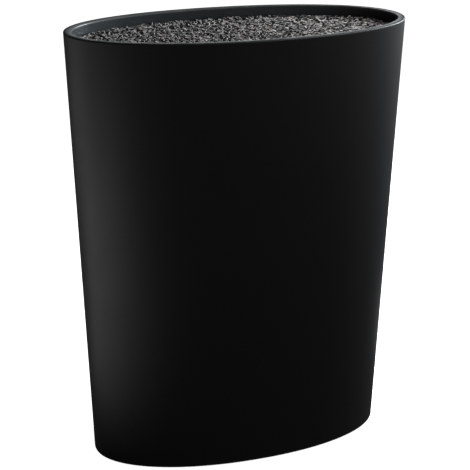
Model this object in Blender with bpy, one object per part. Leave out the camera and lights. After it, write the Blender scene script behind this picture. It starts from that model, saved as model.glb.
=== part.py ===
# Oval universal knife block: a tapered, open-topped housing and a lift-out insert of
# thin upright plastic rods. A blade goes in anywhere between the rods.
# Metres, +Z up. The origin is on the table, under the middle of the block, and the
# long side of the oval runs along X.

import math

import bmesh
import bpy
from mathutils import Vector

# Housing: half of its length and width, at the table and at the rim
HEIGHT = 0.225
BOTTOM_HALF = Vector((0.0789, 0.0375))
TOP_HALF = Vector((0.0872, 0.0434))
ROUNDNESS = 2.1             # exponent of the oval's curve; 2 would be an ellipse
WALL = 0.0040
RIM_OUTER_RADIUS = 0.0011
RIM_INNER_RADIUS = 0.0008
BASE_EDGE_RADIUS = 0.0006
BASE_EDGE_WIDTH = 0.0030    # the narrow ring around the recessed underside
UNDERSIDE_RECESS = 0.0015
FLOOR_THICKNESS = 0.0030

# Non-slip feet, each in a shallow pocket of the underside
FOOT_STAND = 0.0010         # how far a foot holds the housing off the table
FOOT_RADIUS = 0.0070
FOOT_EDGE = 0.0008
FOOT_PLACE = Vector((0.048, 0.017))
POCKET_DEPTH = 0.0008

# Lift-out insert
INSERT_CLEARANCE = 0.0006   # all round, between the insert and the housing's wall
TRAY_WALL = 0.0015
TRAY_HEIGHT = 0.0080
TIP_DEPTH = 0.0045          # from the rim down to the tips of the rods
ROD_ROWS = 7
ROW_PITCH = 0.0104
BLADE_GAP = 0.0046          # the space that the rods leave when a blade parts them

TOUCH_GAP = 0.0003          # between two pieces that rest on each other
OVAL_SEGMENTS = 96
ROUND_SEGMENTS = 48
EDGE_STEPS = 3
BUNDLE_CURVE_STEPS = 10

SHELL_BOTTOM = FOOT_STAND
UNDERSIDE = SHELL_BOTTOM + UNDERSIDE_RECESS
FLOOR_TOP = UNDERSIDE + FLOOR_THICKNESS
TRAY_BOTTOM = FLOOR_TOP + TOUCH_GAP
TRAY_FLOOR = TRAY_BOTTOM + TRAY_WALL
TRAY_TOP = TRAY_BOTTOM + TRAY_HEIGHT
ROD_BASE_BOTTOM = TRAY_FLOOR + TOUCH_GAP
ROD_BOTTOM = TRAY_TOP + TOUCH_GAP
ROD_TOP = HEIGHT - TIP_DEPTH


def clear_scene():
    for thing in list(bpy.data.objects):
        bpy.data.objects.remove(thing, do_unlink=True)


def plastic(name, colour, roughness):
    material = bpy.data.materials.new(name)
    material.use_nodes = True
    shader = material.node_tree.nodes["Principled BSDF"]
    shader.inputs["Base Color"].default_value = (*colour, 1.0)
    shader.inputs["Roughness"].default_value = roughness
    shader.inputs["Metallic"].default_value = 0.0
    return material


def half_size(height):
    # The housing's outer half length and half width at a height above the table
    return BOTTOM_HALF.lerp(TOP_HALF, height / HEIGHT)


def oval_point(half, angle, height):
    # A point of the oval curve |x/a|^n + |y/b|^n = 1
    power = 2 / ROUNDNESS
    cosine, sine = math.cos(angle), math.sin(angle)
    x = math.copysign(half.x * abs(cosine) ** power, cosine)
    y = math.copysign(half.y * abs(sine) ** power, sine)
    return Vector((x, y, height))


def oval_ring(inset, height):
    half = half_size(height) - Vector((inset, inset))
    turn = 2 * math.pi / OVAL_SEGMENTS
    return [oval_point(half, turn * step, height) for step in range(OVAL_SEGMENTS)]


def round_ring(radius, height):
    turn = 2 * math.pi / ROUND_SEGMENTS
    return [
        Vector((radius * math.cos(turn * step), radius * math.sin(turn * step), height))
        for step in range(ROUND_SEGMENTS)
    ]


def edge_arc(centre, radius, start, end):
    # Points of a rounded edge in the (inset, height) plane, angles in degrees
    points = []
    for step in range(EDGE_STEPS + 1):
        angle = math.radians(start + (end - start) * step / EDGE_STEPS)
        points.append((centre[0] + radius * math.cos(angle), centre[1] + radius * math.sin(angle)))
    return points


def skin_object(name, rings, material, parent=None):
    # Joins rings of equal length into one closed body with a face at each end
    mesh = bpy.data.meshes.new(name)
    shape = bmesh.new()
    loops = [[shape.verts.new(point) for point in ring] for ring in rings]
    for lower, upper in zip(loops, loops[1:]):
        for index in range(len(lower)):
            after = (index + 1) % len(lower)
            shape.faces.new((lower[index], lower[after], upper[after], upper[index]))
    shape.faces.new(reversed(loops[0]))
    shape.faces.new(loops[-1])
    bmesh.ops.recalc_face_normals(shape, faces=shape.faces)
    shape.to_mesh(mesh)
    shape.free()
    mesh.shade_smooth()
    mesh.set_sharp_from_angle(angle=math.radians(35))
    mesh.materials.append(material)
    body = bpy.data.objects.new(name, mesh)
    body.parent = parent
    bpy.context.collection.objects.link(body)
    return body


def make_outer_shell(material):
    # From the recessed underside, round the outside, over the rim and down to the floor
    profile = [(BASE_EDGE_WIDTH, UNDERSIDE), (BASE_EDGE_WIDTH, SHELL_BOTTOM)]
    base = (BASE_EDGE_RADIUS, SHELL_BOTTOM + BASE_EDGE_RADIUS)
    profile += edge_arc(base, BASE_EDGE_RADIUS, 270, 180)
    outer = (RIM_OUTER_RADIUS, HEIGHT - RIM_OUTER_RADIUS)
    profile += edge_arc(outer, RIM_OUTER_RADIUS, 180, 90)
    inner = (WALL - RIM_INNER_RADIUS, HEIGHT - RIM_INNER_RADIUS)
    profile += edge_arc(inner, RIM_INNER_RADIUS, 90, 0)
    profile.append((WALL, FLOOR_TOP))
    rings = [oval_ring(inset, height) for inset, height in profile]
    return skin_object("outer_shell", rings, material)


def foot_places():
    for side_x in (-1, 1):
        for side_y in (-1, 1):
            yield Vector((side_x * FOOT_PLACE.x, side_y * FOOT_PLACE.y, 0))


def cut_pocket(shell, number, place):
    rings = [
        round_ring(FOOT_RADIUS + TOUCH_GAP, UNDERSIDE - UNDERSIDE_RECESS),
        round_ring(FOOT_RADIUS + TOUCH_GAP, UNDERSIDE + POCKET_DEPTH),
    ]
    cutter = skin_object(f"pocket_cutter_{number}", rings, shell.data.materials[0])
    cutter.location = place
    cutter.hide_render = True
    cutter.display_type = "WIRE"
    cut = shell.modifiers.new(f"foot_pocket_{number}", "BOOLEAN")
    cut.operation = "DIFFERENCE"
    cut.solver = "EXACT"
    cut.object = cutter


def make_foot(number, place, material):
    top = UNDERSIDE + POCKET_DEPTH - TOUCH_GAP
    rings = [
        round_ring(FOOT_RADIUS - FOOT_EDGE, 0),
        round_ring(FOOT_RADIUS - 0.3 * FOOT_EDGE, 0.3 * FOOT_EDGE),
        round_ring(FOOT_RADIUS, FOOT_EDGE),
        round_ring(FOOT_RADIUS, top),
    ]
    foot = skin_object(f"rubber_foot_{number}", rings, material)
    foot.location = place


def make_insert_tray(material, parent):
    outside = WALL + INSERT_CLEARANCE
    inside = outside + TRAY_WALL
    profile = [(outside, TRAY_BOTTOM), (outside, TRAY_TOP), (inside, TRAY_TOP), (inside, TRAY_FLOOR)]
    rings = [oval_ring(inset, height) for inset, height in profile]
    skin_object("insert_tray", rings, material, parent)


def make_rod_base(material, parent):
    # The lower ends of all the rods, melted together into one plate
    inset = WALL + INSERT_CLEARANCE + TRAY_WALL + TOUCH_GAP
    rings = [oval_ring(inset, ROD_BASE_BOTTOM), oval_ring(inset, TRAY_TOP)]
    skin_object("rod_base", rings, material, parent)


def bundle_outline(row, height):
    # The +X half of one row: straight along the blade gaps, curved at the wall
    inset = WALL + INSERT_CLEARANCE
    half = half_size(height) - Vector((inset, inset))
    near_x = BLADE_GAP / 2
    low_y = row * ROW_PITCH - (ROW_PITCH - BLADE_GAP) / 2
    high_y = low_y + ROW_PITCH - BLADE_GAP
    last_row = (ROD_ROWS - 1) // 2

    def angle_at(y):
        return math.copysign(math.asin((abs(y) / half.y) ** (ROUNDNESS / 2)), y)

    middle_angle = math.acos((near_x / half.x) ** (ROUNDNESS / 2))
    start = -middle_angle if row == -last_row else angle_at(low_y)
    end = middle_angle if row == last_row else angle_at(high_y)
    steps = range(BUNDLE_CURVE_STEPS + 1)
    curve = [oval_point(half, start + (end - start) * step / BUNDLE_CURVE_STEPS, height) for step in steps]
    corners_after = [] if row == last_row else [Vector((near_x, high_y, height))]
    corners_before = [] if row == -last_row else [Vector((near_x, low_y, height))]
    return corners_before + curve + corners_after


def make_rod_bundles(material, parent):
    number = 0
    last_row = (ROD_ROWS - 1) // 2
    for row in range(-last_row, last_row + 1):
        for side in (-1, 1):
            number += 1
            rings = [bundle_outline(row, height) for height in (ROD_BOTTOM, ROD_TOP)]
            mirrored = [[Vector((side * point.x, point.y, point.z)) for point in ring] for ring in rings]
            skin_object(f"rod_bundle_{number:02d}", mirrored, material, parent)


def build():
    clear_scene()
    shell_black = plastic("shell_black", (0.012, 0.012, 0.013), 0.50)
    tray_black = plastic("tray_black", (0.020, 0.020, 0.021), 0.45)
    rod_grey = plastic("rod_grey", (0.075, 0.073, 0.070), 0.40)
    foot_rubber = plastic("foot_rubber", (0.025, 0.025, 0.025), 0.85)

    shell = make_outer_shell(shell_black)
    for number, place in enumerate(foot_places(), start=1):
        cut_pocket(shell, number, place)
        make_foot(number, place, foot_rubber)

    insert_lift = bpy.data.objects.new("insert_lift", None)
    bpy.context.collection.objects.link(insert_lift)
    make_insert_tray(tray_black, insert_lift)
    make_rod_base(rod_grey, insert_lift)
    make_rod_bundles(rod_grey, insert_lift)


build()
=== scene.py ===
import math

import bmesh
import bpy
from mathutils import Euler, Matrix, Vector


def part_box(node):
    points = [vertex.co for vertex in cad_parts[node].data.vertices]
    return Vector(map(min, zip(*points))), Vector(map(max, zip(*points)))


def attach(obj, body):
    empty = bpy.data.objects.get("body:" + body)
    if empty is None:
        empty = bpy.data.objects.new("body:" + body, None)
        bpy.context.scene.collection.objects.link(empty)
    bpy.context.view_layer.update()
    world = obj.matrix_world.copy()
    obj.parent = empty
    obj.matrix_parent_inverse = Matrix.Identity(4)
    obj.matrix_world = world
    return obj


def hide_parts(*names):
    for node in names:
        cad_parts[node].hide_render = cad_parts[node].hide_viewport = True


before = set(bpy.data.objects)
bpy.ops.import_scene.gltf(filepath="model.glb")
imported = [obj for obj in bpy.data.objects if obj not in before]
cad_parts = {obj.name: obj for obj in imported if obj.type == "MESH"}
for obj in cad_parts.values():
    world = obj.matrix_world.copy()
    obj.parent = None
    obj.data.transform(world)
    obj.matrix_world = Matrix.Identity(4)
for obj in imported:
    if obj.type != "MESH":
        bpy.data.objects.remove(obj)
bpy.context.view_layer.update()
scene = bpy.context.scene


def halfSizeNear(node, low, high):
    # widest half length and half width of a node between two heights
    points = [v.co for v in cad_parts[node].data.vertices if low <= v.co.z <= high]
    return Vector((max(abs(p.x) for p in points), max(abs(p.y) for p in points)))


shellLow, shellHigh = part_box("outer_shell")
housing = {
    "roundness": 2.1,            # 2 would be a plain ellipse
    "wall": 0.0040,
    "rimOuterRadius": 0.0006,
    "frameRimRadius": 0.0011,    # where the frame's own rim starts to curve
    "rimHighlight": (0.0, 1.0, 0.2),  # painted highlight at the rim's outer corner, on top, down its inner corner
    "rimInnerRadius": 0.0008,
    "baseEdgeRadius": 0.0006,
    "baseEdgeWidth": 0.0030,
    "edgeFade": 0.0005,          # how far the rim's painted highlight and the bottom edge's wear run down the walls
    "recess": 0.0015,            # of the underside
    "floor": 0.0030,
    "segments": 288,
    "wallSteps": 16,
    "arcSteps": 7,
    "baseSteps": 4,
    "baseWear": 0.2,
    "rimInside": 0.35,           # share of the bare inner plastic on the rim's inner corner
    "wallFoot": 0.0020,          # where the inner wall stops, above the floor
    "floorCorner": 0.0015,
    "floorCornerSteps": 3,
}
bottomZ = shellLow.z
rimZ = shellHigh.z
lowRingZ = bottomZ + housing["baseEdgeRadius"]
highRingZ = rimZ - housing["frameRimRadius"]
rimEdgeZ = rimZ - housing["rimOuterRadius"]
lowRing = halfSizeNear("outer_shell", bottomZ, lowRingZ + 0.0001)
highRing = halfSizeNear("outer_shell", highRingZ - 0.0001, rimZ)
growth = (highRing - lowRing) / (highRingZ - lowRingZ)
groundHalf = lowRing - growth * lowRingZ


def halfAt(height, inset=0.0):
    half = groundHalf + growth * height
    return Vector((half.x - inset, half.y - inset))


print("frame read: rim half", tuple(round(v, 4) for v in halfAt(rimZ)))


def addNode(tree, kind, settings=None, inputs=None):
    node = tree.nodes.new(kind)
    for name, value in (settings or {}).items():
        setattr(node, name, value)
    for name, value in (inputs or {}).items():
        plug(tree, value, node.inputs[name])
    return node


def plug(tree, value, socket):
    # a socket is linked, anything else is set as the value
    if isinstance(value, bpy.types.NodeSocket):
        tree.links.new(value, socket)
    elif value is not None:
        socket.default_value = value


def calc(tree, operation, first, second=None, third=None):
    node = addNode(tree, "ShaderNodeMath", {"operation": operation})
    for value, socket in zip((first, second, third), node.inputs):
        plug(tree, value, socket)
    return node.outputs[0]


def ramp(tree, value, stops, smooth=False):
    node = addNode(tree, "ShaderNodeValToRGB", inputs={"Fac": value})
    points = node.color_ramp.elements
    while len(points) < len(stops):
        points.new(1.0)
    for point, (place, level) in zip(points, stops):
        point.position = place
        point.color = (level, level, level, 1) if isinstance(level, float) else (*level, 1)
    node.color_ramp.interpolation = "EASE" if smooth else "LINEAR"
    return node.outputs["Color"]


def noise(tree, place, scale, detail=3.0, roughness=0.5):
    node = addNode(tree, "ShaderNodeTexNoise", inputs={
        "Vector": place, "Scale": scale, "Detail": detail, "Roughness": roughness})
    return node.outputs["Fac"]


def mixColour(tree, amount, first, second, blend="MIX"):
    node = addNode(tree, "ShaderNodeMix", {"data_type": "RGBA", "blend_type": blend})
    plug(tree, amount, node.inputs[0])
    plug(tree, first, node.inputs[6])
    plug(tree, second, node.inputs[7])
    return node.outputs[2]


def shade(level, tint=(1.0, 1.0, 1.0)):
    return (level * tint[0], level * tint[1], level * tint[2], 1.0)


def newGroup(name, kind, inputs, outputs):
    tree = bpy.data.node_groups.new(name, kind)
    for label, socketKind, value in inputs:
        socket = tree.interface.new_socket(name=label, in_out="INPUT", socket_type=socketKind)
        if value is not None:
            socket.default_value = value
    for label, socketKind in outputs:
        tree.interface.new_socket(name=label, in_out="OUTPUT", socket_type=socketKind)
    return tree, tree.nodes.new("NodeGroupInput").outputs, tree.nodes.new("NodeGroupOutput").inputs


def useGroup(tree, group, inputs):
    return addNode(tree, "ShaderNodeGroup", {"node_tree": group}, inputs).outputs


def makeMouldedGrain():
    # fine eroded grain of a mould, over a slower ripple of the plastic
    tree, given, wanted = newGroup(
        "mouldedGrain", "ShaderNodeTree",
        [("Place", "NodeSocketVector", None), ("Grain Scale", "NodeSocketFloat", 3500.0),
         ("Ripple Scale", "NodeSocketFloat", 260.0), ("Ripple Share", "NodeSocketFloat", 0.3)],
        [("Height", "NodeSocketFloat"), ("Speckle", "NodeSocketFloat")])
    fine = noise(tree, given["Place"], given["Grain Scale"], 2.0, 0.6)
    slow = noise(tree, given["Place"], given["Ripple Scale"], 2.0, 0.5)
    both = addNode(tree, "ShaderNodeMix", {"data_type": "FLOAT"})
    plug(tree, given["Ripple Share"], both.inputs[0])
    plug(tree, fine, both.inputs[2])
    plug(tree, slow, both.inputs[3])
    plug(tree, both.outputs[0], wanted["Height"])
    plug(tree, ramp(tree, fine, [(0.35, 0.0), (0.7, 1.0)]), wanted["Speckle"])
    return tree


def makeEdgeWear():
    # paint rubbed thin along an edge, in patches; on the shell's rim the same mask paints a highlight
    tree, given, wanted = newGroup(
        "edgeWearAndHighlight", "ShaderNodeTree",
        [("Place", "NodeSocketVector", None), ("Edge", "NodeSocketFloat", 0.0),
         ("Patch Scale", "NodeSocketFloat", 90.0), ("Amount", "NodeSocketFloat", 0.5)],
        [("Mask", "NodeSocketFloat")])
    patches = noise(tree, given["Place"], given["Patch Scale"], 4.0, 0.6)
    scuffs = noise(tree, given["Place"], calc(tree, "MULTIPLY", given["Patch Scale"], 11.0), 2.0, 0.6)
    wearAndRimHighlight = calc(tree, "MULTIPLY", ramp(tree, patches, [(0.36, 0.45), (0.62, 1.0)]),
                ramp(tree, scuffs, [(0.35, 0.5), (0.65, 1.0)]))
    mask = calc(tree, "MULTIPLY", calc(tree, "MULTIPLY", wearAndRimHighlight, given["Edge"]), given["Amount"])
    plug(tree, mask, wanted["Mask"])
    return tree


def makeHandling():
    # faint smudges from hands, and sparse dust specks
    tree, given, wanted = newGroup(
        "handlingMarks", "ShaderNodeTree",
        [("Place", "NodeSocketVector", None), ("Smudge Scale", "NodeSocketFloat", 22.0),
         ("Dust Scale", "NodeSocketFloat", 900.0)],
        [("Smudge", "NodeSocketFloat"), ("Dust", "NodeSocketFloat")])
    smudge = noise(tree, given["Place"], given["Smudge Scale"], 5.0, 0.62)
    plug(tree, ramp(tree, smudge, [(0.42, 0.0), (0.66, 1.0)], smooth=True), wanted["Smudge"])
    specks = addNode(tree, "ShaderNodeTexVoronoi", {"feature": "F1"},
                     {"Vector": given["Place"], "Scale": given["Dust Scale"]})
    dots = ramp(tree, specks.outputs["Distance"], [(0.06, 1.0), (0.13, 0.0)])
    rare = ramp(tree, specks.outputs["Color"], [(0.93, 0.0), (0.96, 1.0)])
    plug(tree, calc(tree, "MULTIPLY", dots, rare), wanted["Dust"])
    return tree


mouldedGrain = makeMouldedGrain()
edgeWearAndHighlight = makeEdgeWear()
handlingMarks = makeHandling()


def newMaterial(name):
    material = bpy.data.materials.new(name)
    material.use_nodes = True
    tree = material.node_tree
    shader = tree.nodes["Principled BSDF"]
    place = tree.nodes.new("ShaderNodeTexCoord").outputs["Object"]
    return material, tree, shader, place


def bump(tree, shader, height, distance, strength=1.0):
    node = addNode(tree, "ShaderNodeBump", inputs={
        "Height": height, "Distance": distance, "Strength": strength})
    plug(tree, node.outputs["Normal"], shader.inputs["Normal"])


def attribute(tree, name):
    return addNode(tree, "ShaderNodeAttribute", {"attribute_name": name}).outputs["Fac"]


softTouch = {
    "coat": shade(0.0046, (1.02, 1.0, 1.0)),
    "smudged": shade(0.0062, (1.0, 1.0, 1.02)),
    "smudgeShare": 0.35,
    "bare": shade(0.047, (0.84, 1.0, 1.12)),       # uncoated plastic of the inner wall
    "wearAndRimHighlight": shade(0.52, (1.0, 1.0, 0.98)),         # painted highlight on the rim, in patches like a thin coat; the same pale shade marks the worn bottom edge
    "dust": shade(0.10),
    "dustShare": 0.25,
    "coatRoughness": (0.50, 0.57),
    "bareRoughness": (0.24, 0.32),
    "wearAndHighlightRoughness": 0.25,     # added where the rim's painted highlight and the bottom edge's wear lie
    "frontHighlightAndWear": 1.0,          # share of the rim's painted highlight and wear at the front, and at the back
    "backHighlightAndWear": 0.35,
    "highlightAndWearReach": 0.030,
    "innerGloss": 0.35,
    "dullAndShadedReach": (0.030, 0.075),   # the inner wall turns dull, and darker with painted shade, towards the +X end
    "dullGloss": 0.0,
    # painted shade: share of the bare colour left at the +X end
    "shadedEndColour": 0.3,
    "dullRoughness": 0.40,
    "grainDepth": 0.00003,
}


def makeSoftTouch():
    material, tree, shader, place = newMaterial("softTouchBlack")
    grain = useGroup(tree, mouldedGrain, {"Place": place, "Grain Scale": 4200.0, "Ripple Scale": 210.0})
    marks = useGroup(tree, handlingMarks, {"Place": place})
    inside = attribute(tree, "inside")
    apart = addNode(tree, "ShaderNodeSeparateXYZ", inputs={"Vector": place}).outputs
    dullAndShaded = addNode(tree, "ShaderNodeMapRange", inputs={
        "Value": apart["X"], "From Min": softTouch["dullAndShadedReach"][0], "From Max": softTouch["dullAndShadedReach"][1],
        "To Min": 0.0, "To Max": 1.0}).outputs["Result"]
    # painted highlight: the rim's pale band is stronger at the front than at the back
    highlightAndWearAmount = addNode(tree, "ShaderNodeMapRange", inputs={
        "Value": apart["Y"], "From Min": softTouch["highlightAndWearReach"], "From Max": -softTouch["highlightAndWearReach"],
        "To Min": softTouch["backHighlightAndWear"], "To Max": softTouch["frontHighlightAndWear"]})
    wear = useGroup(tree, edgeWearAndHighlight, {
        "Place": place, "Edge": attribute(tree, "edge"), "Amount": highlightAndWearAmount.outputs["Result"]})
    coat = mixColour(tree, calc(tree, "MULTIPLY", marks["Smudge"], softTouch["smudgeShare"]),
                     softTouch["coat"], softTouch["smudged"])
    # painted shade: the bare inner wall darkens towards the +X end
    paintedShadeBare = [softTouch["shadedEndColour"] * level for level in softTouch["bare"][:3]]
    bare = mixColour(tree, dullAndShaded, softTouch["bare"], (*paintedShadeBare, 1.0))
    colour = mixColour(tree, inside, coat, bare)
    # the pale band on the rim is painted highlight; on the bottom edge it is wear
    colour = mixColour(tree, wear["Mask"], colour, softTouch["wearAndRimHighlight"])
    colour = mixColour(tree, calc(tree, "MULTIPLY", marks["Dust"], softTouch["dustShare"]),
                       colour, softTouch["dust"])
    plug(tree, colour, shader.inputs["Base Color"])
    low, high = softTouch["coatRoughness"]
    coated = calc(tree, "MULTIPLY_ADD", grain["Speckle"], high - low, low)
    coated = calc(tree, "MULTIPLY_ADD", marks["Smudge"], -0.035, coated)
    low, high = softTouch["bareRoughness"]
    bare = calc(tree, "MULTIPLY_ADD", grain["Speckle"], high - low, low)
    bare = calc(tree, "MULTIPLY_ADD", dullAndShaded, softTouch["dullRoughness"], bare)
    rough = addNode(tree, "ShaderNodeMix", {"data_type": "FLOAT"})
    plug(tree, inside, rough.inputs[0])
    plug(tree, coated, rough.inputs[2])
    plug(tree, bare, rough.inputs[3])
    plug(tree, calc(tree, "MULTIPLY_ADD", wear["Mask"], softTouch["wearAndHighlightRoughness"], rough.outputs[0]),
         shader.inputs["Roughness"])
    shader.inputs["IOR"].default_value = 1.48
    gloss = calc(tree, "MULTIPLY_ADD", dullAndShaded, softTouch["dullGloss"] - softTouch["innerGloss"],
                 softTouch["innerGloss"])
    plug(tree, calc(tree, "MULTIPLY", inside, gloss), shader.inputs["Coat Weight"])
    shader.inputs["Coat Roughness"].default_value = 0.16
    shader.inputs["Coat IOR"].default_value = 1.5
    bump(tree, shader, grain["Height"], softTouch["grainDepth"], 0.6)
    return material


rodLook = {
    "side": shade(0.006, (1.04, 1.0, 0.97)),
    "sideStreak": shade(0.012, (1.04, 1.0, 0.97)),
    # painted shade and glints: black rods whose cut ends range from near black to pale
    "cutInShade": shade(0.006, (1.04, 1.0, 0.97)),
    "cutGlint": shade(0.60, (1.12, 1.0, 0.93)),
    "shadeGlintSkew": 1.4,
    "sawnDark": 0.7,
    "paintedLightReach": (-0.008, 0.048),  # painted light: the cut ends are paler towards +X
    "paintedLightGain": (0.86, 1.36),
    "sideRoughness": 0.42,
    "cutRoughness": 0.56,
}


def makeRodPlastic():
    material, tree, shader, place = newMaterial("rodPlastic")
    tone = attribute(tree, "tipShadeAndGlint")
    cut = attribute(tree, "cutEnd")
    stretched = addNode(tree, "ShaderNodeMapping", inputs={"Vector": place, "Scale": (1.0, 1.0, 0.02)})
    streaks = noise(tree, stretched.outputs["Vector"], 2600.0, 3.0, 0.6)
    sawn = noise(tree, place, 5200.0, 3.0, 0.65)
    side = mixColour(tree, ramp(tree, streaks, [(0.3, 0.0), (0.7, 1.0)]), rodLook["side"],
                     rodLook["sideStreak"])
    # painted shade and glints: each cut end gets a random level between the shaded and the glinting colour
    end = mixColour(tree, calc(tree, "POWER", tone, rodLook["shadeGlintSkew"]),
                    rodLook["cutInShade"], rodLook["cutGlint"])
    end = mixColour(tree, 1.0, end, ramp(tree, sawn, [(0.35, rodLook["sawnDark"]), (0.7, 1.0)]),
                    "MULTIPLY")
    # painted light: the cut ends brighten towards +X, as if lit from that side
    apart = addNode(tree, "ShaderNodeSeparateXYZ", inputs={"Vector": place}).outputs
    pale = addNode(tree, "ShaderNodeMapRange", {"interpolation_type": "SMOOTHSTEP"}, {
        "Value": apart["X"], "From Min": rodLook["paintedLightReach"][0], "From Max": rodLook["paintedLightReach"][1],
        "To Min": rodLook["paintedLightGain"][0], "To Max": rodLook["paintedLightGain"][1]}).outputs["Result"]
    scaled = addNode(tree, "ShaderNodeVectorMath", {"operation": "SCALE"}, {"Vector": end, "Scale": pale})
    plug(tree, mixColour(tree, cut, side, scaled.outputs[0]), shader.inputs["Base Color"])
    rough = calc(tree, "MULTIPLY_ADD", cut, rodLook["cutRoughness"] - rodLook["sideRoughness"],
                 rodLook["sideRoughness"])
    rough = calc(tree, "MULTIPLY_ADD", calc(tree, "SUBTRACT", tone, 0.5), 0.16, rough)
    plug(tree, rough, shader.inputs["Roughness"])
    shader.inputs["IOR"].default_value = 1.49
    height = calc(tree, "ADD", calc(tree, "MULTIPLY", streaks, 0.4), calc(tree, "MULTIPLY", sawn, cut))
    bump(tree, shader, height, 0.00004, 0.6)
    return material


def makeTrayPlastic():
    material, tree, shader, place = newMaterial("trayPlastic")
    grain = useGroup(tree, mouldedGrain, {"Place": place, "Grain Scale": 2600.0, "Ripple Share": 0.45})
    marks = useGroup(tree, handlingMarks, {"Place": place, "Smudge Scale": 60.0})
    wear = useGroup(tree, edgeWearAndHighlight, {"Place": place, "Edge": attribute(tree, "edge"), "Amount": 0.6})
    colour = mixColour(tree, calc(tree, "MULTIPLY", marks["Smudge"], 0.6), shade(0.010), shade(0.016))
    colour = mixColour(tree, wear["Mask"], colour, shade(0.05))
    plug(tree, colour, shader.inputs["Base Color"])
    plug(tree, calc(tree, "MULTIPLY_ADD", grain["Speckle"], 0.12, 0.38), shader.inputs["Roughness"])
    bump(tree, shader, grain["Height"], 0.00004, 0.6)
    return material


def makeMeltedPlastic():
    # the plate of melted rod ends: blotchy, half glossy, with pits
    material, tree, shader, place = newMaterial("meltedRodEnds")
    cells = addNode(tree, "ShaderNodeTexVoronoi", {"feature": "F1"}, {"Vector": place, "Scale": 640.0})
    flow = noise(tree, place, 150.0, 4.0, 0.6)
    spots = ramp(tree, cells.outputs["Distance"], [(0.15, 0.0), (0.6, 1.0)])
    colour = mixColour(tree, spots, shade(0.03, (1.04, 1.0, 0.97)), shade(0.014, (1.04, 1.0, 0.97)))
    plug(tree, mixColour(tree, calc(tree, "MULTIPLY", flow, 0.5), colour, shade(0.05)),
         shader.inputs["Base Color"])
    plug(tree, ramp(tree, flow, [(0.3, 0.25), (0.7, 0.55)]), shader.inputs["Roughness"])
    bump(tree, shader, calc(tree, "ADD", spots, flow), 0.0002, 0.5)
    return material


def makeFootRubber():
    material, tree, shader, place = newMaterial("footRubber")
    grain = useGroup(tree, mouldedGrain, {"Place": place, "Grain Scale": 3000.0, "Ripple Scale": 500.0})
    marks = useGroup(tree, handlingMarks, {"Place": place, "Smudge Scale": 140.0, "Dust Scale": 1500.0})
    wear = useGroup(tree, edgeWearAndHighlight, {"Place": place, "Edge": attribute(tree, "edge"),
                                     "Patch Scale": 300.0, "Amount": 0.7})
    colour = mixColour(tree, marks["Smudge"], shade(0.016), shade(0.028, (1.03, 1.0, 0.96)))
    colour = mixColour(tree, wear["Mask"], colour, shade(0.06))
    colour = mixColour(tree, calc(tree, "MULTIPLY", marks["Dust"], 0.6), colour, shade(0.2))
    plug(tree, colour, shader.inputs["Base Color"])
    plug(tree, calc(tree, "MULTIPLY_ADD", grain["Speckle"], 0.1, 0.78), shader.inputs["Roughness"])
    bump(tree, shader, grain["Height"], 0.00005, 0.7)
    return material


softTouchBlack = makeSoftTouch()
rodPlastic = makeRodPlastic()
trayPlastic = makeTrayPlastic()
meltedRodEnds = makeMeltedPlastic()
footRubber = makeFootRubber()
print("materials made")


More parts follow.
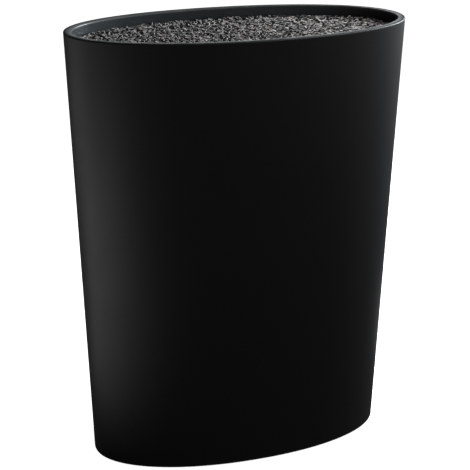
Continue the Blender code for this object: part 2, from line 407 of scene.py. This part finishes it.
def makeOvalLoft():
    tree, given, wanted = newGroup(
        "ovalLoft", "GeometryNodeTree",
        [("Profile", "NodeSocketGeometry", None), ("Rings", "NodeSocketInt", 8),
         ("Segments", "NodeSocketInt", 96), ("Ground Half", "NodeSocketVector", None),
         ("Growth", "NodeSocketVector", None), ("Roundness", "NodeSocketFloat", 2.0),
         ("Material", "NodeSocketMaterial", None)],
        [("Geometry", "NodeSocketGeometry")])
    lastRing = calc(tree, "SUBTRACT", given["Rings"], 1.0)
    drum = addNode(tree, "GeometryNodeMeshCylinder", {"fill_type": "NGON"}, {
        "Vertices": given["Segments"], "Side Segments": lastRing, "Radius": 1.0, "Depth": 1.0})
    place = addNode(tree, "ShaderNodeSeparateXYZ", inputs={"Vector": tree.nodes.new(
        "GeometryNodeInputPosition").outputs[0]}).outputs
    ring = calc(tree, "ROUND", calc(tree, "MULTIPLY", calc(tree, "ADD", place["Z"], 0.5), lastRing))
    angle = calc(tree, "ARCTAN2", place["Y"], place["X"])

    def fromProfile(kind, name=None):
        # value of the profile's point that this ring follows
        source = (addNode(tree, "GeometryNodeInputNamedAttribute", {"data_type": "FLOAT"}, {"Name": name})
                  if name else tree.nodes.new("GeometryNodeInputPosition"))
        pick = addNode(tree, "GeometryNodeSampleIndex",
                       {"data_type": kind, "domain": "POINT", "clamp": True})
        plug(tree, given["Profile"], pick.inputs["Geometry"])
        plug(tree, source.outputs[0], pick.inputs["Value"])
        plug(tree, ring, pick.inputs["Index"])
        return pick.outputs["Value"]

    step = addNode(tree, "ShaderNodeSeparateXYZ", inputs={"Vector": fromProfile("FLOAT_VECTOR")}).outputs
    ground = addNode(tree, "ShaderNodeSeparateXYZ", inputs={"Vector": given["Ground Half"]}).outputs
    widen = addNode(tree, "ShaderNodeSeparateXYZ", inputs={"Vector": given["Growth"]}).outputs
    power = calc(tree, "DIVIDE", 2.0, given["Roundness"])

    def along(axis, turn):
        outer = calc(tree, "MULTIPLY_ADD", widen[axis], step["Z"], ground[axis])
        half = calc(tree, "SUBTRACT", outer, step["X"])
        size = calc(tree, "POWER", calc(tree, "ABSOLUTE", turn), power)
        return calc(tree, "MULTIPLY", calc(tree, "MULTIPLY", half, size), calc(tree, "SIGN", turn))

    spot = addNode(tree, "ShaderNodeCombineXYZ", inputs={
        "X": along("X", calc(tree, "COSINE", angle)),
        "Y": along("Y", calc(tree, "SINE", angle)),
        "Z": step["Z"]})
    kept = drum.outputs["Mesh"]
    for name in ("inside", "edge"):
        keep = addNode(tree, "GeometryNodeStoreNamedAttribute", {"data_type": "FLOAT", "domain": "POINT"},
                       {"Geometry": kept, "Name": name, "Value": fromProfile("FLOAT", name)})
        kept = keep.outputs["Geometry"]
    shaped = addNode(tree, "GeometryNodeSetPosition", inputs={
        "Geometry": kept, "Position": spot.outputs[0]})
    real = addNode(tree, "GeometryNodeRealizeInstances", inputs={"Geometry": shaped.outputs[0]})
    finished = addNode(tree, "GeometryNodeSetMaterial", inputs={
        "Geometry": real.outputs[0], "Material": given["Material"]})
    plug(tree, finished.outputs[0], wanted["Geometry"])
    return tree


def giveInputs(modifier, values):
    for item in modifier.node_group.interface.items_tree:
        if item.item_type == "SOCKET" and item.in_out == "INPUT" and item.name in values:
            modifier[item.identifier] = values[item.name]


def keepAsMesh(piece, name):
    # the modifiers' result becomes the piece's plain mesh
    bpy.context.view_layer.update()
    evaluated = piece.evaluated_get(bpy.context.evaluated_depsgraph_get())
    mesh = bpy.data.meshes.new_from_object(evaluated)
    mesh.name = name
    finished = bpy.data.objects.new(name, mesh)
    scene.collection.objects.link(finished)
    bpy.data.objects.remove(piece)
    return finished


def ovalPiece(name, profile, material, segments, cutters=()):
    # profile: (inset from the housing's outside, height, inside, edge) per point
    mesh = bpy.data.meshes.new(name + "Profile")
    mesh.from_pydata([(inset, 0, height) for inset, height, _, _ in profile],
                     [(i, i + 1) for i in range(len(profile) - 1)], [])
    for label, column in (("inside", 2), ("edge", 3)):
        layer = mesh.attributes.new(label, "FLOAT", "POINT")
        layer.data.foreach_set("value", [float(point[column]) for point in profile])
    guide = bpy.data.objects.new(name + "Guide", mesh)
    scene.collection.objects.link(guide)
    loft = guide.modifiers.new("loft", "NODES")
    loft.node_group = ovalLoft
    giveInputs(loft, {
        "Rings": len(profile), "Segments": segments, "Ground Half": (*groundHalf, 0.0),
        "Growth": (*growth, 0.0), "Roundness": housing["roundness"], "Material": material})
    for cutter in cutters:
        cut = guide.modifiers.new("pocket", "BOOLEAN")
        cut.operation = "DIFFERENCE"
        cut.solver = "EXACT"
        cut.object = cutter
    piece = keepAsMesh(guide, name)
    piece.data.shade_smooth()
    piece.data.set_sharp_from_angle(angle=math.radians(32))
    return piece


def arc(centre, radius, start, end, steps):
    angles = [math.radians(start + (end - start) * i / steps) for i in range(steps + 1)]
    return [(centre[0] + radius * math.cos(a), centre[1] + radius * math.sin(a)) for a in angles]


def marked(points, inside, edge):
    return [(inset, height, inside, edge) for inset, height in points]


def finish(piece, body, slot, *nodes):
    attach(piece, body)
    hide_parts(*nodes)


ovalLoft = makeOvalLoft()

feet = {
    "names": [f"rubber_foot_{n}" for n in range(1, 5)],
    "pocketGap": 0.0003,
    "pocketDepth": 0.0008,
    "segments": 64,
    "groove": 0.00035,
    "grooveShares": (0.22, 0.46, 0.70),   # of the foot's radius
}


def turned(name, profile, centre, segments, material, edgeHeights=()):
    # a round piece from (radius, height) points, closed by a flat face at each end
    mesh = bpy.data.meshes.new(name)
    shape = bmesh.new()
    edge = shape.verts.layers.float.new("edge")
    rings = []
    for radius, height in profile:
        ring = []
        for step in range(segments):
            angle = 2 * math.pi * step / segments
            vert = shape.verts.new((
                centre.x + radius * math.cos(angle), centre.y + radius * math.sin(angle), height))
            vert[edge] = 1.0 if height in edgeHeights else 0.0
            ring.append(vert)
        rings.append(ring)
    for low, high in zip(rings, rings[1:]):
        for step in range(segments):
            after = (step + 1) % segments
            shape.faces.new((low[step], low[after], high[after], high[step]))
    shape.faces.new(reversed(rings[0]))
    shape.faces.new(rings[-1])
    bmesh.ops.recalc_face_normals(shape, faces=shape.faces)
    shape.to_mesh(mesh)
    shape.free()
    mesh.shade_smooth()
    mesh.set_sharp_from_angle(angle=math.radians(32))
    mesh.materials.append(material)
    piece = bpy.data.objects.new(name, mesh)
    scene.collection.objects.link(piece)
    return piece


def makeHousing():
    size = housing
    underside = bottomZ + size["recess"]
    floorTop = underside + size["floor"]
    baseRound = arc((size["baseEdgeRadius"], lowRingZ), size["baseEdgeRadius"], 270, 180,
                    size["baseSteps"])
    outerRound = arc((size["rimOuterRadius"], rimEdgeZ), size["rimOuterRadius"], 180, 90,
                     size["arcSteps"])
    innerCentre = (size["wall"] - size["rimInnerRadius"], rimZ - size["rimInnerRadius"])
    innerRound = arc(innerCentre, size["rimInnerRadius"], 90, 0, size["arcSteps"])
    wallSteps = size["wallSteps"]
    up = [(0.0, lowRingZ + size["edgeFade"])]
    up += [(0.0, lowRingZ + (highRingZ - lowRingZ) * i / wallSteps) for i in range(1, wallSteps)]
    up += [(0.0, rimEdgeZ - size["edgeFade"])]
    down = [(size["wall"], innerCentre[1] - size["edgeFade"])]
    wallFoot = floorTop + size["wallFoot"]
    down += [(size["wall"], innerCentre[1] + (wallFoot - innerCentre[1]) * i / wallSteps)
             for i in range(1, wallSteps + 1)]
    bend = size["floorCorner"]
    corner = arc((size["wall"] + bend, floorTop + bend), bend, 180, 270, size["floorCornerSteps"])
    profile = marked([(size["baseEdgeWidth"], underside), (size["baseEdgeWidth"], bottomZ)], 1, 0)
    profile += marked(baseRound, 0, size["baseWear"]) + marked(up, 0, 0)
    # the rim's roundings carry the painted highlight
    outerHighlight, topHighlight, innerHighlight = size["rimHighlight"]
    profile += marked(outerRound, 0, outerHighlight)
    profile += marked(innerRound[:2], size["rimInside"], topHighlight)
    profile += marked(innerRound[2:], size["rimInside"], innerHighlight)
    profile += marked(down, 1, 0) + marked(corner, 1, 0)
    cutters = []
    for node in feet["names"]:
        low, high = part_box(node)
        radius = (high.x - low.x) / 2 + feet["pocketGap"]
        ends = [(radius, underside - 0.001), (radius, underside + feet["pocketDepth"])]
        cutters.append(turned("pocket", ends, (low + high) / 2, feet["segments"], softTouchBlack))
    piece = ovalPiece("outerShell", profile, softTouchBlack, size["segments"], cutters)
    for cutter in cutters:
        bpy.data.objects.remove(cutter)
    finish(piece, "housing", "shell_black", "outer_shell")
    print("housing made,", len(piece.data.polygons), "faces")


def makeFeet():
    for number, node in enumerate(feet["names"], start=1):
        low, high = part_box(node)
        radius, groove = (high.x - low.x) / 2, feet["groove"]
        profile = []
        for share in feet["grooveShares"]:
            profile += [(radius * (share - 0.05), low.z), (radius * (share - 0.02), low.z + groove),
                        (radius * (share + 0.03), low.z + groove), (radius * (share + 0.06), low.z)]
        profile += [(radius - 0.0008, low.z), (radius - 0.0003, low.z + 0.0001),
                    (radius - 0.0001, low.z + 0.0004), (radius, low.z + 0.0009), (radius, high.z)]
        piece = turned(f"rubberFoot{number}", profile, (low + high) / 2, feet["segments"], footRubber,
                       (low.z + 0.0001, low.z + 0.0004))
        finish(piece, "housing", "foot_rubber", node)
    print("feet made")


tray = {
    "clearance": 0.0006,
    "wall": 0.0015,
    "round": 0.0004,
    "baseRound": 0.0010,
    "segments": 192,
}


def makeTray():
    low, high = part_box("insert_tray")
    outside = housing["wall"] + tray["clearance"]
    inside = outside + tray["wall"]
    r = tray["round"]
    base = tray["baseRound"]
    profile = marked(arc((outside + base, low.z + base), base, 270, 180, 4), 0, 0.5)
    profile += marked(arc((outside + r, high.z - r), r, 180, 90, 3), 0, 1)
    profile += marked(arc((inside - r, high.z - r), r, 90, 0, 3), 0, 1)
    profile += marked([(inside, low.z + tray["wall"])], 0, 0)
    piece = ovalPiece("insertTray", profile, trayPlastic, tray["segments"])
    finish(piece, "insert", "tray_black", "insert_tray")
    print("tray made")


makeHousing()
makeFeet()
makeTray()


rods = {
    "diameter": 0.00180,
    "spacing": 0.00195,        # centre to centre at the tips
    "sides": 8,
    "wallGap": 0.00045,        # more than the jitter can move a tip
    "bevel": 0.0001,
    "jitter": 0.0003,
    "heightSpread": 0.0010,
    "cutTilt": 0.25,           # how unevenly the tips were cut, as a slope
    "bow": 0.0005,
    "seed": 11,
}


def makeRodField():
    tree, given, wanted = newGroup(
        "rodField", "GeometryNodeTree",
        [("Geometry", "NodeSocketGeometry", None), ("Spacing", "NodeSocketFloat", 0.002),
         ("Radius", "NodeSocketFloat", 0.001), ("Sides", "NodeSocketInt", 8),
         ("Foot Half", "NodeSocketVector", None), ("Tip Half", "NodeSocketVector", None),
         ("Cell Low", "NodeSocketVector", None), ("Cell High", "NodeSocketVector", None),
         ("Foot Height", "NodeSocketFloat", 0.0), ("Tip Height", "NodeSocketFloat", 0.2),
         ("Height Spread", "NodeSocketFloat", 0.001), ("Jitter", "NodeSocketFloat", 0.0001),
         ("Cut Tilt", "NodeSocketFloat", 0.1), ("Bow", "NodeSocketFloat", 0.0005),
         ("Bevel", "NodeSocketFloat", 0.0002), ("Roundness", "NodeSocketFloat", 2.0),
         ("Seed", "NodeSocketInt", 0), ("Material", "NodeSocketMaterial", None)],
        [("Geometry", "NodeSocketGeometry")])

    def parts(vector):
        return addNode(tree, "ShaderNodeSeparateXYZ", inputs={"Vector": vector}).outputs

    def randomOf(low, high, salt):
        node = addNode(tree, "FunctionNodeRandomValue", {"data_type": "FLOAT"})
        plug(tree, low, node.inputs[2])
        plug(tree, high, node.inputs[3])
        plug(tree, calc(tree, "ADD", given["Seed"], float(salt)), node.inputs["Seed"])
        return node.outputs[1]

    def store(geometry, name, value, kind="FLOAT"):
        return addNode(tree, "GeometryNodeStoreNamedAttribute", {"data_type": kind, "domain": "POINT"},
                       {"Geometry": geometry, "Name": name, "Value": value}).outputs["Geometry"]

    def recall(name, kind="FLOAT"):
        node = addNode(tree, "GeometryNodeInputNamedAttribute", {"data_type": kind}, {"Name": name})
        return node.outputs[0]

    tipHalf, footHalf = parts(given["Tip Half"]), parts(given["Foot Half"])
    cellLow, cellHigh = parts(given["Cell Low"]), parts(given["Cell High"])

    # staggered rows of places over the whole oval, numbered the same way for every bundle
    rowStep = calc(tree, "MULTIPLY", given["Spacing"], math.sqrt(3) / 2)
    columns = calc(tree, "ADD", calc(tree, "CEIL", calc(tree, "DIVIDE", calc(
        tree, "MULTIPLY", tipHalf["X"], 2.0), given["Spacing"])), 2.0)
    rows = calc(tree, "ADD", calc(tree, "CEIL", calc(tree, "DIVIDE", calc(
        tree, "MULTIPLY", tipHalf["Y"], 2.0), rowStep)), 2.0)
    index = tree.nodes.new("GeometryNodeInputIndex").outputs[0]
    row = calc(tree, "FLOOR", calc(tree, "DIVIDE", calc(tree, "ADD", index, 0.5), columns))
    column = calc(tree, "SUBTRACT", index, calc(tree, "MULTIPLY", row, columns))
    stagger = calc(tree, "MULTIPLY", calc(tree, "MODULO", row, 2.0), 0.5)
    gridX = calc(tree, "MULTIPLY", calc(tree, "SUBTRACT", calc(tree, "ADD", column, stagger), calc(
        tree, "MULTIPLY", columns, 0.5)), given["Spacing"])
    gridY = calc(tree, "MULTIPLY", calc(tree, "SUBTRACT", row, calc(tree, "MULTIPLY", rows, 0.5)), rowStep)
    spot = addNode(tree, "ShaderNodeCombineXYZ", inputs={"X": gridX, "Y": gridY})
    places = addNode(tree, "GeometryNodePoints", inputs={
        "Count": calc(tree, "MULTIPLY", rows, columns), "Position": spot.outputs[0]}).outputs[0]

    # per rod: its place in the oval, painted shade or glint of its cut end, height, jitter, uneven cut and
    # bow
    here = parts(tree.nodes.new("GeometryNodeInputPosition").outputs[0])
    places = store(places, "placeX", here["X"])
    places = store(places, "placeY", here["Y"])
    places = store(places, "tipShadeAndGlint", randomOf(0.0, 1.0, 1))
    places = store(places, "tipRise", randomOf(-1.0, 0.0, 2))
    for salt, name in enumerate(("shiftX", "shiftY", "cutX", "cutY", "bowX", "bowY"), start=3):
        places = store(places, name, randomOf(-1.0, 1.0, salt))
    reach = calc(tree, "ADD", *[
        calc(tree, "POWER", calc(tree, "DIVIDE", calc(tree, "ABSOLUTE", here[axis]), tipHalf[axis]),
             given["Roundness"]) for axis in ("X", "Y")])
    tests = [calc(tree, "LESS_THAN", reach, 1.0)]
    for axis in ("X", "Y"):
        tests.append(calc(tree, "LESS_THAN", here[axis], cellHigh[axis]))
        tests.append(calc(tree, "SUBTRACT", 1.0, calc(tree, "LESS_THAN", here[axis], cellLow[axis])))
    wantedRod = tests[0]
    for test in tests[1:]:
        wantedRod = calc(tree, "MULTIPLY", wantedRod, test)
    unwanted = calc(tree, "LESS_THAN", wantedRod, 0.5)
    places = addNode(tree, "GeometryNodeDeleteGeometry", {"domain": "POINT"}, {
        "Geometry": places, "Selection": unwanted}).outputs[0]

    # one rod of unit length with a bevelled tip
    bar = addNode(tree, "GeometryNodeMeshCylinder", {"fill_type": "NGON"}, {
        "Vertices": given["Sides"], "Side Segments": 3, "Radius": 1.0, "Depth": 1.0})
    tip = addNode(tree, "GeometryNodeExtrudeMesh", {"mode": "FACES"}, {
        "Mesh": bar.outputs["Mesh"], "Selection": bar.outputs["Top"],
        "Offset Scale": 0.01, "Individual": False})
    narrowed = addNode(tree, "GeometryNodeScaleElements", {"domain": "FACE"}, {
        "Geometry": tip.outputs["Mesh"], "Selection": tip.outputs["Top"], "Scale": calc(
            tree, "SUBTRACT", 1.0, calc(tree, "DIVIDE", given["Bevel"], given["Radius"]))})
    barHere = parts(tree.nodes.new("GeometryNodeInputPosition").outputs[0])
    rod = store(narrowed.outputs[0], "barX", barHere["X"])
    rod = store(rod, "barY", barHere["Y"])
    rod = store(rod, "barZ", calc(tree, "ADD", barHere["Z"], 0.5))
    rod = store(rod, "cutEnd", calc(tree, "GREATER_THAN", barHere["Z"], 0.505))

    copies = addNode(tree, "GeometryNodeInstanceOnPoints", inputs={"Points": places, "Instance": rod})
    real = addNode(tree, "GeometryNodeRealizeInstances", inputs={"Geometry": copies.outputs[0]}).outputs[0]

    # every point of a rod is put on its line from the foot to the tip
    share = calc(tree, "MINIMUM", recall("barZ"), 1.0)
    isTip = recall("cutEnd")
    spread = calc(tree, "MULTIPLY", share, calc(tree, "MULTIPLY_ADD", share, 0.4, 0.6))
    belly = calc(tree, "SINE", calc(tree, "MULTIPLY", share, math.pi))

    def across(axis):
        place = recall("place" + axis)
        foot = calc(tree, "MULTIPLY", place, calc(tree, "DIVIDE", footHalf[axis], tipHalf[axis]))
        top = calc(tree, "MULTIPLY_ADD", recall("shift" + axis), given["Jitter"], place)
        line = addNode(tree, "ShaderNodeMix", {"data_type": "FLOAT"})
        plug(tree, spread, line.inputs[0])
        plug(tree, foot, line.inputs[2])
        plug(tree, top, line.inputs[3])
        bow = calc(tree, "MULTIPLY", calc(tree, "MULTIPLY", recall("bow" + axis), given["Bow"]), belly)
        shift = calc(tree, "ADD", line.outputs[0], bow)
        return calc(tree, "MULTIPLY_ADD", recall("bar" + axis), given["Radius"], shift)

    length = calc(tree, "SUBTRACT", given["Tip Height"], given["Foot Height"])
    length = calc(tree, "MULTIPLY_ADD", recall("tipRise"), given["Height Spread"], length)
    bevelled = calc(tree, "MULTIPLY", calc(tree, "SUBTRACT", isTip, calc(
        tree, "GREATER_THAN", share, 0.999)), given["Bevel"])
    slope = calc(tree, "ADD", *[
        calc(tree, "MULTIPLY", recall("bar" + axis), recall("cut" + axis)) for axis in ("X", "Y")])
    atTop = calc(tree, "GREATER_THAN", share, 0.999)
    uneven = calc(tree, "MULTIPLY", calc(tree, "MULTIPLY", slope, calc(
        tree, "MULTIPLY", given["Cut Tilt"], given["Radius"])), atTop)
    height = calc(tree, "ADD", calc(tree, "MULTIPLY_ADD", share, length, given["Foot Height"]),
                  calc(tree, "ADD", bevelled, uneven))
    shaped = addNode(tree, "GeometryNodeSetPosition", inputs={
        "Geometry": real, "Position": addNode(tree, "ShaderNodeCombineXYZ", inputs={
            "X": across("X"), "Y": across("Y"), "Z": height}).outputs[0]}).outputs[0]

    # the sides shade round, the cut ends flat
    normal = parts(tree.nodes.new("GeometryNodeInputNormal").outputs[0])
    isSide = calc(tree, "LESS_THAN", calc(tree, "ABSOLUTE", normal["Z"]), 0.5)
    smooth = addNode(tree, "GeometryNodeSetShadeSmooth", {"domain": "FACE"}, {
        "Geometry": shaped, "Shade Smooth": isSide}).outputs[0]
    for name in ("placeX", "placeY", "tipRise", "shiftX", "shiftY", "cutX", "cutY", "bowX", "bowY",
                 "barX", "barY", "barZ"):
        smooth = addNode(tree, "GeometryNodeRemoveAttribute", inputs={
            "Geometry": smooth, "Name": name}).outputs[0]
    finished = addNode(tree, "GeometryNodeSetMaterial", inputs={
        "Geometry": smooth, "Material": given["Material"]})
    plug(tree, finished.outputs[0], wanted["Geometry"])
    return tree


def rodCells():
    # the share of the oval that each bundle of the frame stands for: half way into its gaps
    nodes = sorted(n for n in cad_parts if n.startswith("rod_bundle_"))
    boxes = {n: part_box(n) for n in nodes}
    rowPlaces = sorted({round((low.y + high.y) / 2, 3) for low, high in boxes.values()})
    inner = rowPlaces[1:-1]
    pitch = inner[1] - inner[0]
    cuts = [-1.0] + [place - pitch / 2 for place in inner] + [inner[-1] + pitch / 2, 1.0]
    for node in nodes:
        low, high = boxes[node]
        middle = (low + high) / 2
        row = max(i for i, cut in enumerate(cuts) if middle.y > cut)
        right = middle.x > 0
        yield node, (0.0 if right else -1.0, cuts[row], 0), (1.0 if right else 0.0, cuts[row + 1], 0)


def makeRods():
    rodField = makeRodField()
    low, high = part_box("rod_bundle_07")
    inset = housing["wall"] + rods["wallGap"] + rods["diameter"] / 2
    count = 0
    for node, cellLow, cellHigh in rodCells():
        name = "rodBundle" + node[-2:]
        seed = bpy.data.objects.new(name + "Seed", bpy.data.meshes.new(name + "Seed"))
        scene.collection.objects.link(seed)
        field = seed.modifiers.new("rods", "NODES")
        field.node_group = rodField
        giveInputs(field, {
            "Spacing": rods["spacing"], "Radius": rods["diameter"] / 2, "Sides": rods["sides"],
            "Foot Half": (*halfAt(low.z, inset + tray["wall"] + tray["clearance"]), 0.0),
            "Tip Half": (*halfAt(high.z, inset), 0.0),
            "Cell Low": cellLow, "Cell High": cellHigh, "Foot Height": low.z, "Tip Height": high.z,
            "Height Spread": rods["heightSpread"], "Jitter": rods["jitter"], "Cut Tilt": rods["cutTilt"],
            "Bow": rods["bow"], "Bevel": rods["bevel"], "Roundness": housing["roundness"],
            "Seed": rods["seed"], "Material": rodPlastic})
        piece = keepAsMesh(seed, name)
        count += len(piece.data.vertices) // (rods["sides"] * 5)
        finish(piece, "insert", "rod_grey", node)
    print("rods made:", count)


makeRods()
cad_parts["rod_base"].data.materials.clear()
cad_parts["rod_base"].data.materials.append(meltedRodEnds)


studio = {
    "floorSize": 18.0,
    "floorColour": shade(0.85),
    "floorGlow": 1.0,
    "backdropRadius": 9.0,
    "cardHeight": 0.002,
    "airColour": shade(1.0),
    "airStrength": 0.041,
}

# a soft box faces the block's middle from (azimuth, elevation, distance), as for the camera
softBoxes = {
    "rightFront": {"place": (60, 15, 0.8), "size": (0.40, 0.30), "power": 0.50},
    "rightBack": {"place": (108, 15, 0.8), "size": (0.30, 0.30), "power": 1.19,
                  "colour": (0.90, 1.0, 1.05)},
    "rightHigh": {"place": (106, 31, 0.60), "size": (0.22, 0.22), "power": 4.6,
                  "colour": (0.92, 1.0, 1.04)},
    "frontHigh": {"place": (48, 48, 0.8), "size": (0.40, 0.40), "power": 1.7},
}

# a bounce card lies on the floor and faces up: (azimuth, distance) of its middle
bounceCards = {
    "leftNear": {"place": (-78, 0.20), "size": (0.26, 0.12), "power": 0.068},
    "leftFar": {"place": (-84, 0.37), "size": (0.36, 0.22), "power": 0.42},
    "leftOuter": {"place": (-115, 0.69), "size": (0.50, 0.42), "power": 0.81},
    "rightNear": {"place": (120, 0.20), "size": (0.12, 0.12), "power": 0.022},
}

cameraSetup = {
    "azimuth": -19.155,
    "elevation": 20.537,
    "distance": 0.6819,
    "roll": 0.372,
    "lens": 100.18,
    "aimAside": -0.0013,
    "aimUp": 0.00105,
}


def direction(azimuth, elevation):
    turn, lift = math.radians(azimuth), math.radians(elevation)
    return Vector((math.sin(turn) * math.cos(lift), -math.cos(turn) * math.cos(lift), math.sin(lift)))


def stagePiece(name, floorTone):
    # a pale stage surface that only the camera sees, so that it throws no light back on the block
    thing = bpy.context.object
    thing.name = name
    material = bpy.data.materials.new(name)
    material.use_nodes = True
    tree = material.node_tree
    shader = tree.nodes["Principled BSDF"]
    place = tree.nodes.new("ShaderNodeTexCoord").outputs["Object"]
    tone = mixColour(tree, noise(tree, place, 3.0, 2.0, 0.5), shade(0.98 * floorTone[0]), floorTone)
    plug(tree, tone, shader.inputs["Base Color"])
    shader.inputs["Roughness"].default_value = 0.9
    shader.inputs["Emission Color"].default_value = shade(1.0)
    shader.inputs["Emission Strength"].default_value = studio["floorGlow"]
    thing.data.materials.append(material)
    thing.visible_glossy = False
    thing.visible_diffuse = False
    return thing


def makeStage():
    bpy.ops.mesh.primitive_plane_add(size=studio["floorSize"], location=(0, 0, 0))
    stagePiece("studioFloor", studio["floorColour"])
    bpy.ops.mesh.primitive_uv_sphere_add(segments=48, ring_count=24, radius=studio["backdropRadius"])
    backdrop = stagePiece("studioBackdrop", studio["floorColour"])
    backdrop.visible_shadow = False


def addLamp(name, lamp, place, facing):
    light = bpy.data.lights.new(name, "AREA")
    light.shape = "RECTANGLE"
    light.size, light.size_y = lamp["size"]
    light.energy = lamp["power"]
    light.color = lamp.get("colour", (1, 1, 1))
    thing = bpy.data.objects.new(name, light)
    thing.location = place
    thing.rotation_mode = "QUATERNION"
    thing.rotation_quaternion = facing
    thing.visible_camera = False
    scene.collection.objects.link(thing)


def makeLamps():
    middle = Vector((0, 0, rimZ / 2))
    for name, lamp in softBoxes.items():
        azimuth, elevation, distance = lamp["place"]
        back = direction(azimuth, elevation)
        addLamp(name, lamp, middle + back * distance, back.to_track_quat("Z", "Y"))
    for name, lamp in bounceCards.items():
        azimuth, distance = lamp["place"]
        place = direction(azimuth, 0) * distance + Vector((0, 0, studio["cardHeight"]))
        upward = Euler((math.pi, 0, math.radians(azimuth)))
        addLamp(name, lamp, place, upward.to_quaternion())


def makeWorld():
    world = bpy.data.worlds.new("studioAir")
    world.use_nodes = True
    back = world.node_tree.nodes["Background"]
    back.inputs["Color"].default_value = studio["airColour"]
    back.inputs["Strength"].default_value = studio["airStrength"]
    scene.world = world
    scene.view_settings.view_transform = "Standard"


def makeCamera():
    view = cameraSetup
    back = direction(view["azimuth"], view["elevation"])
    turn = math.radians(view["azimuth"])
    right = Vector((math.cos(turn), math.sin(turn), 0))
    up = back.cross(right)
    roll = math.radians(view["roll"])
    right, up = right * math.cos(roll) + up * math.sin(roll), up * math.cos(roll) - right * math.sin(roll)
    aim = Vector((0, 0, rimZ / 2)) + right * view["aimAside"] + up * view["aimUp"]
    data = bpy.data.cameras.new("studioCamera")
    data.lens = view["lens"]
    data.sensor_width = 36.0
    data.clip_start = 0.05
    camera = bpy.data.objects.new("studioCamera", data)
    scene.collection.objects.link(camera)
    axes = Matrix((right, up, back)).transposed().to_4x4()
    camera.matrix_world = Matrix.Translation(aim + back * view["distance"]) @ axes
    scene.camera = camera


makeStage()
makeLamps()
makeWorld()
makeCamera()
print("studio made")
